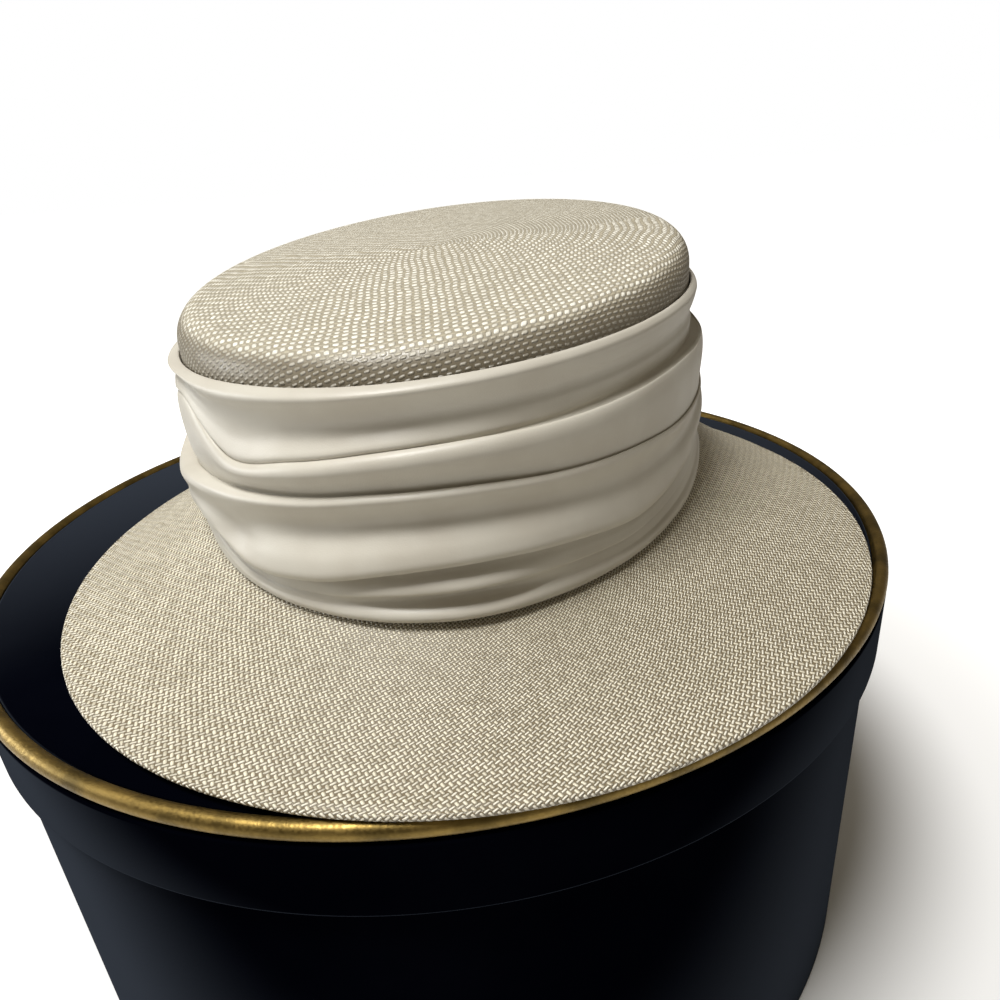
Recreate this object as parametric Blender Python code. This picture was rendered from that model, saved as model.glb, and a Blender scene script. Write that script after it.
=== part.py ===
"""A flat-topped woven straw hat with a draped satin band, standing on its round hat box.

Metres, +Z up. The origin is the centre of the box's bottom, on the floor. The hat's front
points along -Y, and the long way of its oval runs along Y.
"""

import math
from collections import namedtuple

import bpy
import numpy as np

# Straw, cloth and clearances
STRAW = 0.0016
GAP = 0.0003

# Round hat box, lid and bead
BOX_RADIUS = 0.1644
BOX_WALL = 0.0025
LID_TOP = 0.155
LID_WALL = 0.0022
LID_FIT = 0.0006
LID_SKIRT = 0.0255
BEAD_RADIUS = 0.0024
BEAD_RISE = 0.0014

# Crown: an oval of straw, a little tapered, with a tilted flat top
CROWN_LENGTH = 0.2053
CROWN_WIDTH = 0.1703
CROWN_X = 0.012
CROWN_Y = -0.0101
CROWN_HEIGHT = 0.102
CROWN_TAPER = 0.0006
CROWN_EDGE = 0.0075
CROWN_DOME = 0.002
TOP_TILT_BACK = 6.7
TOP_TILT_SIDE = 1.6

# Seam of crown and brim, tilted like the top: the brim droops most at the back
SEAM_HEIGHT = 0.0398
SEAM_TILT_BACK = 8.0
SEAM_TILT_SIDE = -2.0

# Brim: collar, fillet and concave slope down to its edge
BRIM_LENGTH = 0.2982
BRIM_WIDTH = 0.2828
BRIM_X = 0.0154
BRIM_Y = -0.0163
COLLAR = 0.012
COLLAR_FILLET = 0.006
SLOPE_REACH = 0.35
SLOPE_DROP = 0.6
EDGE_CLIMB = 0.012

# Draped band: the straw that shows above it at the crown's axis, and its upper line's tilt
STRAW_SHOWING = 0.0144
BAND_TILT_BACK = 2.8
BAND_TILT_SIDE = 2.1
FOLD_DEPTH = 0.006
HEM_OUT = 0.0028
EDGE_TUCK = 0.001

# Faces round the hat, round the box and round the bead, and rings on each stretch
SEGMENTS = 60
BOX_SEGMENTS = 72
BEAD_SIDES = 8
EDGE_RINGS = 5
TOP_RINGS = 3
FILLET_RINGS = 4
SLOPE_RINGS = 6

# Lines of the folds round the band, each as a share of the band's height above its hem.
# Azimuth is in degrees round the crown, 0 at the front and 90 at the +X side.
Drape = namedtuple("Drape", "azimuth low mid high pocket")
DRAPES = [
    Drape(0, 0.24, 0.58, 0.75, 1.0),
    Drape(30, 0.24, 0.59, 0.79, 0.1),
    Drape(60, 0.20, 0.56, 0.80, 0.0),
    Drape(90, 0.34, 0.52, 0.79, 0.0),
    Drape(120, 0.30, 0.51, 0.76, 0.0),
    Drape(150, 0.25, 0.53, 0.73, 0.3),
    Drape(180, 0.22, 0.56, 0.73, 0.6),
    Drape(210, 0.24, 0.59, 0.76, 0.2),
    Drape(240, 0.30, 0.62, 0.81, 0.0),
    Drape(270, 0.40, 0.64, 0.86, 0.0),
    Drape(300, 0.40, 0.62, 0.86, 0.0),
    Drape(330, 0.20, 0.60, 0.72, 0.0),
]

# Each fold from its upper line down to its lower one: how far it stands out, as a share of
# the fold depth, at a share of the way down. A roll is followed by a hollow and a swell.
# Dip is how much less it stands out, as the same share, where the drape has a full pocket.
Fold = namedtuple("Fold", "way_down stands_out dip")
TOP_FOLD = [
    Fold(0.00, 0.10, 0.0),
    Fold(0.07, 0.40, 0.0),
    Fold(0.20, 0.50, 0.0),
    Fold(0.42, 0.20, 0.0),
    Fold(0.68, 0.35, 0.0),
    Fold(0.92, 0.65, 0.0),
]
HIGH_FOLD = [
    Fold(0.00, 0.45, 0.0),
    Fold(0.22, 0.85, 0.0),
    Fold(0.50, 0.80, 0.0),
    Fold(0.85, 0.45, 0.0),
]
MID_FOLD = [
    Fold(0.00, 0.30, 0.0),
    Fold(0.10, 0.70, 0.0),
    Fold(0.32, 0.45, 0.0),
    Fold(0.60, 0.60, 0.0),
    Fold(0.85, 0.95, 0.0),
    Fold(0.97, 0.75, 0.0),
]
LOW_FOLD = [
    Fold(0.00, 0.40, 0.0),
    Fold(0.30, 0.60, 0.0),
    Fold(0.60, 0.50, 0.4),
    Fold(0.85, 0.60, 0.0),
    Fold(0.96, 0.50, 0.0),
]


def clear_scene():
    for found in list(bpy.data.objects):
        bpy.data.objects.remove(found, do_unlink=True)


def material(name, colour, roughness, metallic=0.0):
    made = bpy.data.materials.new(name)
    made.use_nodes = True
    shader = made.node_tree.nodes["Principled BSDF"]
    shader.inputs["Base Color"].default_value = (*colour, 1.0)
    shader.inputs["Roughness"].default_value = roughness
    shader.inputs["Metallic"].default_value = metallic
    return made


def place(name, mesh, finish):
    """Shade the mesh smooth, keep its sharp edges, give it its material and add it to the scene."""
    mesh.shade_smooth()
    mesh.set_sharp_from_angle(angle=math.radians(40))
    mesh.materials.append(finish)
    made = bpy.data.objects.new(name, mesh)
    bpy.context.collection.objects.link(made)
    return made


def turns():
    """Angles round the oval, 0 at the front (-Y) and growing towards +X."""
    return np.linspace(0.0, 2 * np.pi, SEGMENTS, endpoint=False)


def ellipse(turn, length, width, centre_x, centre_y):
    x = centre_x + width / 2 * np.sin(turn)
    y = centre_y - length / 2 * np.cos(turn)
    return np.stack([x, y], axis=-1)


def outwards(turn):
    """Unit normals of the crown's oval."""
    normal = np.stack([np.sin(turn) / CROWN_WIDTH, -np.cos(turn) / CROWN_LENGTH], axis=-1)
    return normal / np.linalg.norm(normal, axis=-1, keepdims=True)


def crown_oval(turn, out=0.0):
    """Plan of the crown's outer wall, moved outwards by a constant distance."""
    wall = ellipse(turn, CROWN_LENGTH, CROWN_WIDTH, CROWN_X, CROWN_Y)
    return wall + outwards(turn) * np.asarray(out)[..., None]


def tilted(plan, height, back, side):
    """Height above the lid of a plane through the crown's axis, rising to the back and to +X."""
    rise_back = (plan[..., 1] - CROWN_Y) * math.tan(math.radians(back))
    rise_side = (plan[..., 0] - CROWN_X) * math.tan(math.radians(side))
    return LID_TOP + height + rise_back + rise_side


def seam(turn):
    """Height at which the brim's fillet starts and the crown's wall ends."""
    return tilted(crown_oval(turn), SEAM_HEIGHT, SEAM_TILT_BACK, SEAM_TILT_SIDE)


def rings(plan, heights):
    return np.concatenate([plan, heights[..., None]], axis=-1)


def sheet_mesh(name, points, pole=None):
    """Faces over a grid of points [ring, turn], closed round each ring and at a pole if given."""
    count, around = points.shape[:2]
    corners = points.reshape(-1, 3).tolist()
    faces = []
    for ring in range(count - 1):
        for turn in range(around):
            after = (turn + 1) % around
            low, high = ring * around, (ring + 1) * around
            faces.append((low + turn, low + after, high + after, high + turn))
    if pole is not None:
        corners.append(pole)
        last = (count - 1) * around
        faces += [(last + turn, last + (turn + 1) % around, count * around) for turn in range(around)]
    mesh = bpy.data.meshes.new(name)
    mesh.from_pydata(corners, [], faces)
    return mesh


def closed_ring_mesh(name, points):
    """Faces over a grid of points [ring, turn] whose last ring joins its first."""
    return sheet_mesh(name, np.concatenate([points, points[:1]]))


def thicken(made, thickness):
    wall = made.modifiers.new("wall", "SOLIDIFY")
    wall.thickness = thickness
    wall.offset = -1.0
    wall.use_even_offset = True
    return made


def straw_crown(finish):
    """Wall, rounded edge and slightly domed top, as one sheet of straw thickened inwards."""
    turn = turns()
    levels = []
    top_plan = crown_oval(turn, -CROWN_TAPER)
    bend_start = tilted(top_plan, CROWN_HEIGHT - CROWN_EDGE, TOP_TILT_BACK, TOP_TILT_SIDE)
    levels.append(rings(crown_oval(turn), seam(turn)))
    levels.append(rings(crown_oval(turn), seam(turn) + COLLAR))
    levels.append(rings(top_plan, bend_start))
    for bend in np.linspace(0, math.pi / 2, EDGE_RINGS + 1)[1:]:
        plan = crown_oval(turn, -CROWN_TAPER - CROWN_EDGE * (1 - math.cos(bend)))
        height = CROWN_HEIGHT - CROWN_EDGE * (1 - math.sin(bend))
        levels.append(rings(plan, tilted(plan, height, TOP_TILT_BACK, TOP_TILT_SIDE)))
    centre = np.array([CROWN_X, CROWN_Y])
    flat_edge = crown_oval(turn, -CROWN_TAPER - CROWN_EDGE)
    for share in np.linspace(1, 0, TOP_RINGS + 2)[1:-1]:
        plan = centre + (flat_edge - centre) * share
        height = CROWN_HEIGHT + CROWN_DOME * (1 - share**2)
        levels.append(rings(plan, tilted(plan, height, TOP_TILT_BACK, TOP_TILT_SIDE)))
    peak = (CROWN_X, CROWN_Y, LID_TOP + CROWN_HEIGHT + CROWN_DOME)
    mesh = sheet_mesh("straw_crown", np.array(levels), peak)
    return thicken(place("straw_crown", mesh, finish), STRAW)


def brim_section(turn):
    """Upper face of the brim as (plan, height) rings: collar, fillet, slope, from inside out."""
    inner = -STRAW - GAP
    wall = crown_oval(turn)
    edge = ellipse(turn, BRIM_LENGTH, BRIM_WIDTH, BRIM_X, BRIM_Y)
    edge_height = LID_TOP + GAP + STRAW + edge_rise(edge)
    reach = np.linalg.norm(edge - wall, axis=-1)
    drop = seam(turn) - edge_height
    slope = np.arctan2(SLOPE_DROP * (drop - COLLAR_FILLET), SLOPE_REACH * (reach - COLLAR_FILLET))
    rows = [(np.full_like(turn, inner), seam(turn) + COLLAR)]
    for share in np.linspace(0, 1, FILLET_RINGS):
        bend = share * (np.pi / 2 - slope)
        out = inner + COLLAR_FILLET * (1 - np.cos(bend))
        rows.append((out, seam(turn) - COLLAR_FILLET * np.sin(bend)))
    start_out, start_height = rows[-1]
    for share in np.linspace(0, 1, SLOPE_RINGS + 1)[1:]:
        pull = 2 * share * (1 - share)
        out = start_out + (reach - start_out) * (pull * SLOPE_REACH + share**2)
        height = start_height + (edge_height - start_height) * (pull * SLOPE_DROP + share**2)
        rows.append((out, height))
    return rows, edge, reach


def edge_rise(edge):
    """The brim's edge lies on the lid, and climbs onto the bead where it reaches it."""
    shoulder, _, _ = lid_step()
    from_axis = np.linalg.norm(edge, axis=-1)
    return BEAD_RISE * np.clip((from_axis - shoulder) / EDGE_CLIMB + 1, 0.0, 1.0)


def straw_brim(finish):
    """Collar inside the crown, fillet and concave slope, thickened downwards and inwards."""
    turn = turns()
    rows, edge, reach = brim_section(turn)
    levels = []
    wall = crown_oval(turn)
    to_edge = (edge - wall) / reach[:, None]
    for out, height in rows:
        share = np.clip(out / reach, 0.0, 1.0)[:, None]
        heading = outwards(turn) * (1 - share) + to_edge * share
        levels.append(rings(wall + heading * out[:, None], height))
    mesh = sheet_mesh("straw_brim", np.array(levels)[::-1])
    return thicken(place("straw_brim", mesh, finish), STRAW)


def round_the_band(turn, column):
    """Smooth closed curve through one column of the drape table."""
    azimuth = np.radians([row.azimuth for row in DRAPES])
    values = np.array([getattr(row, column) for row in DRAPES])
    step = azimuth[1] - azimuth[0]
    place_in = np.mod(turn, 2 * np.pi) / step
    first = np.floor(place_in).astype(int) % len(DRAPES)
    t = place_in - np.floor(place_in)
    before, here, after, last = (values[(first + shift) % len(DRAPES)] for shift in (-1, 0, 1, 2))
    slope_here, slope_after = (after - before) / 2, (last - here) / 2
    cubic = (2 * t**3 - 3 * t**2 + 1) * here + (3 * t**2 - 2 * t**3) * after
    return cubic + (t**3 - 2 * t**2 + t) * slope_here + (t**3 - t**2) * slope_after


def draped_band(finish):
    """A closed ring of cloth: its folds outside, the crown's wall inside, the brim below."""
    turn = turns()
    rows, _, _ = brim_section(turn)
    outs = np.array([out for out, _ in rows[1:]])
    heights = np.array([height for _, height in rows[1:]])

    def above_brim(out):
        return np.array([np.interp(out, outs[:, i], heights[:, i]) for i in range(SEGMENTS)]) + 2 * GAP

    hem = above_brim(HEM_OUT)
    top = tilted(crown_oval(turn), CROWN_HEIGHT - STRAW_SHOWING, BAND_TILT_BACK, BAND_TILT_SIDE)
    tall = top - hem
    lines = [np.ones_like(turn)]
    lines += [round_the_band(turn, column) for column in ("high", "mid", "low")]
    lines.append(np.zeros_like(turn))
    pocket = round_the_band(turn, "pocket")
    levels = []
    for fold, upper, lower in zip((TOP_FOLD, HIGH_FOLD, MID_FOLD, LOW_FOLD), lines, lines[1:]):
        for row in fold:
            share = upper + (lower - upper) * row.way_down
            out = GAP + FOLD_DEPTH * (row.stands_out - row.dip * pocket)
            levels.append(rings(crown_oval(turn, out), hem + tall * share))
    levels.append(rings(crown_oval(turn, HEM_OUT), hem))
    levels.append(rings(crown_oval(turn, GAP), above_brim(GAP)))
    levels.append(rings(crown_oval(turn, GAP), top - EDGE_TUCK))
    return place("draped_band", closed_ring_mesh("draped_band", np.array(levels)[::-1]), finish)


def turned(name, profile, finish, closed=False):
    """A profile of (radius, height) points turned round the box's axis."""
    edges = [(i, i + 1) for i in range(len(profile) - 1)]
    if closed:
        edges.append((len(profile) - 1, 0))
    mesh = bpy.data.meshes.new(name)
    mesh.from_pydata([(radius, 0.0, height) for radius, height in profile], edges, [])
    made = place(name, mesh, finish)
    screw = made.modifiers.new("turn", "SCREW")
    screw.angle = 2 * math.pi
    screw.steps = BOX_SEGMENTS
    screw.render_steps = BOX_SEGMENTS
    screw.use_merge_vertices = True
    screw.merge_threshold = 0.00005
    return made


def lid_radii():
    inside = BOX_RADIUS + LID_FIT
    return inside, inside + LID_WALL


def bead_centre():
    _, outside = lid_radii()
    return outside - BEAD_RADIUS, LID_TOP + BEAD_RISE - BEAD_RADIUS


def lid_step():
    """Radius and height of the shoulder that the bead sits in, and the step's underside."""
    radius, height = bead_centre()
    ledge = height - BEAD_RADIUS - GAP
    return radius - BEAD_RADIUS - GAP, ledge, ledge - LID_WALL


def hat_box_body(finish):
    inside = BOX_RADIUS - BOX_WALL
    _, _, step_under = lid_step()
    rim = step_under - GAP
    profile = [(0.0, BOX_WALL), (inside, BOX_WALL), (inside, rim)]
    profile += [(BOX_RADIUS, rim), (BOX_RADIUS, 0.0), (0.0, 0.0)]
    return turned("hat_box_body", profile, finish)


def hat_box_lid(finish):
    """Flat top with a shoulder for the bead, and a skirt that slips over the body."""
    inside, outside = lid_radii()
    shoulder, ledge, step_under = lid_step()
    foot = LID_TOP - LID_SKIRT
    under = LID_TOP - LID_WALL
    profile = [(0.0, LID_TOP), (shoulder, LID_TOP), (shoulder, ledge), (outside, ledge), (outside, foot)]
    profile += [(inside, foot), (inside, step_under), (shoulder - LID_WALL, step_under)]
    profile += [(shoulder - LID_WALL, under), (0.0, under)]
    return turned("hat_box_lid", profile, finish)


def lid_gold_bead(finish):
    radius, height = bead_centre()
    angles = [-2 * math.pi * side / BEAD_SIDES for side in range(BEAD_SIDES)]
    profile = [(radius + BEAD_RADIUS * math.cos(a), height + BEAD_RADIUS * math.sin(a)) for a in angles]
    return turned("lid_gold_bead", profile, finish, closed=True)


clear_scene()
straw = material("straw", (0.72, 0.66, 0.52), 0.45)
satin = material("satin", (0.78, 0.73, 0.62), 0.4)
board = material("navy_board", (0.02, 0.025, 0.05), 0.6)
gold = material("gold_bead", (0.6, 0.42, 0.14), 0.35, 0.8)
straw_crown(straw)
straw_brim(straw)
draped_band(satin)
hat_box_body(board)
hat_box_lid(board)
lid_gold_bead(gold)
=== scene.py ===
"""Looks of a flat-topped woven straw hat with a draped satin band, on its round hat box.

Metres, +Z up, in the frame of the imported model: the origin is the centre of the box's bottom,
the hat's front points along -Y. Every piece is a grid of points [row, turn], worked out as whole
arrays. A turn is an angle round the oval, 0 at the front and growing towards +X.
"""

import math
from collections import namedtuple

import bpy
import numpy as np
from mathutils import Matrix


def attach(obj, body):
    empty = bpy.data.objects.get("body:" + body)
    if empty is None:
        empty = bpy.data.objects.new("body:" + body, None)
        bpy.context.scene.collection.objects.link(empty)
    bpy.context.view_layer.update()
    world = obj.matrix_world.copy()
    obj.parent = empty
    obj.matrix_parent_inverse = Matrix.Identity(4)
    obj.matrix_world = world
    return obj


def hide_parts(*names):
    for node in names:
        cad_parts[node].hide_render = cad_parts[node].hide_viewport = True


# Camera: where it stands, two of its directions, and its lens
CAMERA_AT = (0.06289, -0.2772, 0.28118)
CAMERA_RIGHT = (0.99225, 0.10157, -0.07162)
CAMERA_DOWN = (-0.02379, -0.41034, -0.91162)
LENS_MM = 26.8

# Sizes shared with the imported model
STRAW = 0.0016
GAP = 0.0003
BOX_RADIUS = 0.1644
BOX_WALL = 0.0025
LID_TOP = 0.155
LID_WALL = 0.0022
LID_FIT = 0.0006
LID_SKIRT = 0.0255
BEAD_RADIUS = 0.0024
BEAD_RISE = 0.0014
CROWN_LENGTH = 0.2053
CROWN_WIDTH = 0.1703
CROWN_X = 0.012
CROWN_Y = -0.0101
CROWN_HEIGHT = 0.102
CROWN_TAPER = 0.0006
CROWN_EDGE = 0.0075
CROWN_DOME = 0.002
TOP_TILT = (6.7, 1.6)
SEAM_HEIGHT = 0.0398
SEAM_TILT = (8.0, -2.0)
BRIM_LENGTH = 0.2982
BRIM_WIDTH = 0.2828
BRIM_X = 0.0154
BRIM_Y = -0.0163
COLLAR = 0.012
COLLAR_FILLET = 0.006
SLOPE_REACH = 0.35
SLOPE_DROP = 0.6
EDGE_CLIMB = 0.012
STRAW_SHOWING = 0.0144
BAND_TILT = (2.8, 2.1)
HEM_OUT = 0.0028

# Finer sizes that only the looks have. The pole is where the box's flat faces end, at its axis,
# and a small flat face closes it.
TURNED_ROW = 0.0022
BOARD_ROUND = 0.0009
POLE = 0.0008

# The band's cloth: its length round the crown laid flat, how far it leans in from hem to top, how
# far its back ends below its top, the height of its ripples, and the distance out from the crown
# at which they have their full height
CLOTH_LENGTH = 0.6
BAND_TAPER = CROWN_TAPER * 0.8
TUCKED_BELOW = 0.002
RIPPLE = 0.00016
RIPPLES_FROM = 0.002

# How the straw's cells spread from a centre: see woven_cells
Spread = namedtuple("Spread", "centre_x centre_y count power turned lean shape")
CROWN_SPREAD = Spread(0.012, -0.0101, 862.0, 1.0, -0.11, 0.45, 2.43)
BRIM_SPREAD = Spread(0.034, -0.08, 310.0, 0.5, 0.0, 0.165, 0.946)

# Grids: turns round each piece, and rows or steps down each stretch of its section
CROWN_TURNS = 360
BRIM_TURNS = 480
BAND_TURNS = 400
BOX_TURNS = 288
WALL_ROWS = 12
EDGE_ROWS = 15
TOP_ROWS = 60
FILLET_ROWS = 8
SLOPE_ROWS = 41
SWELL_ROWS = 5
TURNED_ROWS = 12
FOLD_STEPS = 4
CORNER_STEPS = 5
BEAD_STEPS = 20

# The innermost ring of the crown's flat top, as a share of its edge
INNER_RING = 0.012

# Lines of the band's folds, each as a share of the band's height above its hem, with a row for
# every 15 degrees of turn. Brow is how far the top fold hangs over the high line, relief how far
# the folds under it stand out from a plain band, full how far the hollows are filled out, and
# pocket how open the lens-shaped pocket above the hem is.
Drape = namedtuple("Drape", "azimuth high mid low brow relief full pocket")
DRAPES = [
    Drape(0, 0.750, 0.580, 0.240, 1.0, 1.0, 0.0, 0.75),
    Drape(15, 0.765, 0.580, 0.263, 0.6, 0.9, 0.0, 1.0),
    Drape(30, 0.760, 0.550, 0.243, 0.2, 0.6, 0.0, 0.1),
    Drape(45, 0.760, 0.520, 0.200, 0.0, 0.4, 0.0, 0.0),
    Drape(60, 0.760, 0.485, 0.240, 0.0, 0.3, 0.0, 0.0),
    Drape(75, 0.740, 0.470, 0.330, 0.0, 0.25, 0.0, 0.0),
    Drape(90, 0.710, 0.460, 0.350, 0.0, 0.3, 0.0, 0.0),
    Drape(105, 0.710, 0.470, 0.330, 0.2, 0.4, 0.0, 0.0),
    Drape(120, 0.720, 0.490, 0.300, 0.5, 0.6, 0.0, 0.0),
    Drape(135, 0.720, 0.510, 0.270, 0.8, 0.8, 0.0, 0.0),
    Drape(150, 0.730, 0.530, 0.250, 1.0, 0.9, 0.0, 0.3),
    Drape(165, 0.730, 0.550, 0.230, 1.0, 1.0, 0.0, 0.6),
    Drape(180, 0.730, 0.560, 0.220, 1.0, 1.0, 0.0, 0.6),
    Drape(195, 0.740, 0.570, 0.220, 1.0, 1.0, 0.0, 0.3),
    Drape(210, 0.750, 0.570, 0.220, 1.0, 1.0, 0.1, 0.1),
    Drape(225, 0.760, 0.550, 0.220, 1.0, 1.0, 0.3, 0.0),
    Drape(240, 0.760, 0.520, 0.200, 1.0, 1.0, 0.6, 0.0),
    Drape(255, 0.760, 0.490, 0.180, 1.0, 1.0, 0.8, 0.0),
    Drape(270, 0.750, 0.450, 0.150, 1.0, 1.0, 1.0, 0.0),
    Drape(285, 0.750, 0.400, 0.120, 1.0, 1.0, 1.0, 0.0),
    Drape(300, 0.800, 0.400, 0.130, 1.0, 1.0, 1.0, 0.0),
    Drape(315, 0.870, 0.470, 0.240, 1.0, 1.0, 0.95, 0.0),
    Drape(330, 0.665, 0.515, 0.145, 1.0, 1.0, 0.5, 0.0),
    Drape(345, 0.705, 0.550, 0.172, 1.0, 1.0, 0.1, 0.0),
]

# How far a plain band would stand out from the crown, in millimetres
PLAIN_BAND = 4.6

# A dent near the hem on the left: its turn in radians and share of the band's height, how deep it
# is, how wide in radians, and how tall as a share
Dent = namedtuple("Dent", "turn share deep wide tall")
DENT = Dent(-0.55, 0.27, 0.0026, 0.1, 0.09)

# Each fold from its upper line down to its lower one: the share of the way down, how far it
# stands out in millimetres, how much less where its own drape column is 0, and how much more
# where full is 1.
Fold = namedtuple("Fold", "way_down stands_out less more")
TOP_FOLD = [
    Fold(0.03, 0.35, 0.0, 0.0),
    Fold(-0.005, 0.5, 0.0, 0.0),
    Fold(-0.015, 1.0, 0.2, 0.0),
    Fold(0.0, 2.0, 0.6, 0.0),
    Fold(0.035, 3.1, 1.2, -0.1),
    Fold(0.08, 3.9, 1.6, -0.2),
    Fold(0.13, 4.0, 1.6, -0.2),
    Fold(0.19, 3.4, 1.2, 0.0),
    Fold(0.27, 2.4, 0.5, 0.1),
    Fold(0.38, 1.3, 0.0, 0.8),
    Fold(0.5, 0.5, 0.0, 1.9),
    Fold(0.6, 0.4, 0.0, 2.4),
    Fold(0.7, 1.0, 0.3, 2.0),
    Fold(0.8, 2.3, 1.7, 0.9),
    Fold(0.89, 3.4, 2.9, -0.1),
    Fold(0.95, 3.6, 3.1, -0.4),
    Fold(1.03, 2.8, 2.3, -0.7),
]
HIGH_FOLD = [
    Fold(0.06, 2.2, 1.2, -1.0),
    Fold(0.0, 3.2, 0.8, -1.2),
    Fold(0.03, 4.6, 0.4, -1.5),
    Fold(0.14, 5.7, 0.0, -2.0),
    Fold(0.3, 6.0, 0.0, -2.1),
    Fold(0.48, 5.2, 0.0, -1.4),
    Fold(0.66, 3.9, 0.0, -0.4),
    Fold(0.84, 2.7, 0.0, 0.2),
    Fold(0.95, 2.2, 0.0, 0.0),
    Fold(1.03, 2.0, 0.0, 0.0),
]
MID_FOLD = [
    Fold(0.02, 2.2, 0.0, 0.0),
    Fold(0.0, 3.2, 0.0, 0.6),
    Fold(0.01, 4.2, 0.0, 1.4),
    Fold(0.05, 5.0, 0.0, 2.0),
    Fold(0.1, 4.8, 0.0, 2.7),
    Fold(0.18, 3.6, 0.0, 4.2),
    Fold(0.28, 2.2, 0.0, 5.4),
    Fold(0.38, 1.6, 0.0, 5.6),
    Fold(0.48, 2.2, 0.0, 4.6),
    Fold(0.6, 4.0, 0.0, 2.6),
    Fold(0.72, 5.7, 0.0, 1.0),
    Fold(0.83, 6.6, 0.0, 0.0),
    Fold(0.91, 6.8, 0.0, -0.4),
    Fold(0.97, 6.3, 0.0, -0.5),
    Fold(1.0, 5.2, 0.0, -0.4),
    Fold(0.995, 4.2, 0.0, -0.4),
]
LOW_FOLD = [
    Fold(0.0, 3.0, 0.0, 0.0),
    Fold(0.07, 2.6, 0.0, 0.0),
    Fold(0.14, 3.4, 0.6, 0.0),
    Fold(0.22, 5.0, 1.8, -0.8),
    Fold(0.3, 6.0, 2.6, -1.2),
    Fold(0.38, 6.2, 2.6, -1.2),
    Fold(0.43, 5.6, 2.0, -1.0),
    Fold(0.46, 4.2, 1.0, -0.6),
    Fold(0.52, 2.6, -0.8, 0.0),
    Fold(0.6, 1.8, -1.8, 0.0),
    Fold(0.67, 2.8, -1.0, 0.0),
    Fold(0.73, 4.6, 0.2, -0.8),
    Fold(0.8, 5.8, 1.0, -1.6),
    Fold(0.88, 6.0, 1.3, -1.8),
    Fold(0.95, 5.2, 0.9, -1.2),
    Fold(1.0, 3.6, 0.2, -0.4),
]


# Shared shapes


def turns(count):
    """Angles round the oval, from the back over the -X side and the front to the +X side."""
    return np.linspace(-np.pi, np.pi, count, endpoint=False)


def ellipse(turn, length, width, centre_x, centre_y):
    """Points in plan at half the width times the sine and half the length times the cosine."""
    x = centre_x + width / 2 * np.sin(turn)
    y = centre_y - length / 2 * np.cos(turn)
    return np.stack([x, y], axis=-1)


def outwards(turn):
    """Unit normals of the crown's oval: sine over width, less cosine over length."""
    normal = np.stack([np.sin(turn) / CROWN_WIDTH, -np.cos(turn) / CROWN_LENGTH], axis=-1)
    return normal / np.linalg.norm(normal, axis=-1, keepdims=True)


def crown_oval(turn, out=0.0):
    """The crown's outer wall in plan, moved outwards by a distance."""
    wall = ellipse(turn, CROWN_LENGTH, CROWN_WIDTH, CROWN_X, CROWN_Y)
    return wall + outwards(turn) * np.asarray(out)[..., None]


def tilted(plan, height, tilt):
    """A plane above the lid, through the crown's axis, rising to the back and to +X by degrees."""
    back, side = (math.tan(math.radians(angle)) for angle in tilt)
    return LID_TOP + height + (plan[..., 1] - CROWN_Y) * back + (plan[..., 0] - CROWN_X) * side


def seam(turn):
    """Height of the seam of crown and brim round the oval, a tilted plane."""
    return tilted(crown_oval(turn), SEAM_HEIGHT, SEAM_TILT)


def with_height(plan, height):
    """Points in plan with their height as the third coordinate."""
    return np.concatenate([plan, np.broadcast_to(height, plan.shape[:-1])[..., None]], axis=-1)


def smooth_rows(points, steps):
    """A Catmull-Rom curve down the rows: each stretch between two rows is cut in equal steps."""
    before = np.concatenate([points[:1], points[:-2]])
    here, after = points[:-1], points[1:]
    last = np.concatenate([points[2:], points[-1:]])
    t = np.arange(steps).reshape(-1, 1, *([1] * (points.ndim - 1))) / steps
    curve = 0.5 * (
        2 * here
        + (after - before) * t
        + (2 * before - 5 * here + 4 * after - last) * t**2
        + (3 * here - before - 3 * after + last) * t**3
    )
    rows = np.swapaxes(curve, 0, 1).reshape(-1, *points.shape[1:])
    return np.concatenate([rows, points[-1:]])


def share_round(count):
    """Share of the way round the oval at each turn, by length, with the closing 1.0 at the end."""
    fine = np.linspace(-np.pi, np.pi, count + 1)
    step = np.linalg.norm(np.diff(crown_oval(fine), axis=0), axis=-1)
    return np.concatenate([[0.0], np.cumsum(step)]) / step.sum()


# Meshes


def grid_corners(rows, around):
    """Row and turn of the four corners of every face of a grid that closes round each row."""
    row, turn = np.meshgrid(np.arange(rows - 1), np.arange(around), indexing="ij")
    row, turn = row.ravel(), turn.ravel()
    return np.stack([row, row, row + 1, row + 1], 1), np.stack([turn, turn + 1, turn + 1, turn], 1)


def volume_of(points, faces):
    """Six times the signed volume under the faces, by two triangles a face."""
    a, b, c, d = (points[faces[:, corner]] for corner in range(4))
    first = (a * np.cross(b, c)).sum()
    return first + (a * np.cross(c, d)).sum()


def piece(name, points, cells, finish, stands_for, closed=False):
    """A closed mesh over points [row, turn], with cells [row, turn + 1, 2] as its UV map.

    A closed grid joins its last row to its first. Any other has a flat face over each end.
    """
    if closed:
        points = np.concatenate([points, points[:1]])
    rows, around = points.shape[:2]
    corner_row, corner_turn = grid_corners(rows, around)
    kept = rows - 1 if closed else rows
    flat = points[:kept].reshape(-1, 3)
    faces = corner_row % kept * around + corner_turn % around
    inside_out = volume_of(flat - flat.mean(axis=0), faces) < 0
    uv = cells[corner_row, corner_turn]
    if inside_out:
        faces, uv = faces[:, ::-1], uv[:, ::-1]
    corners, sizes, maps = [faces.ravel()], [np.full(len(faces), 4)], [uv.reshape(-1, 2)]
    if not closed:
        ring = np.arange(around)
        for row, turned in ((0, inside_out), (rows - 1, not inside_out)):
            order = ring if turned else ring[::-1]
            corners.append(row * around + order)
            sizes.append([around])
            maps.append(cells[row, order])
    return mesh_object(name, flat, corners, sizes, maps, finish, stands_for)


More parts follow.
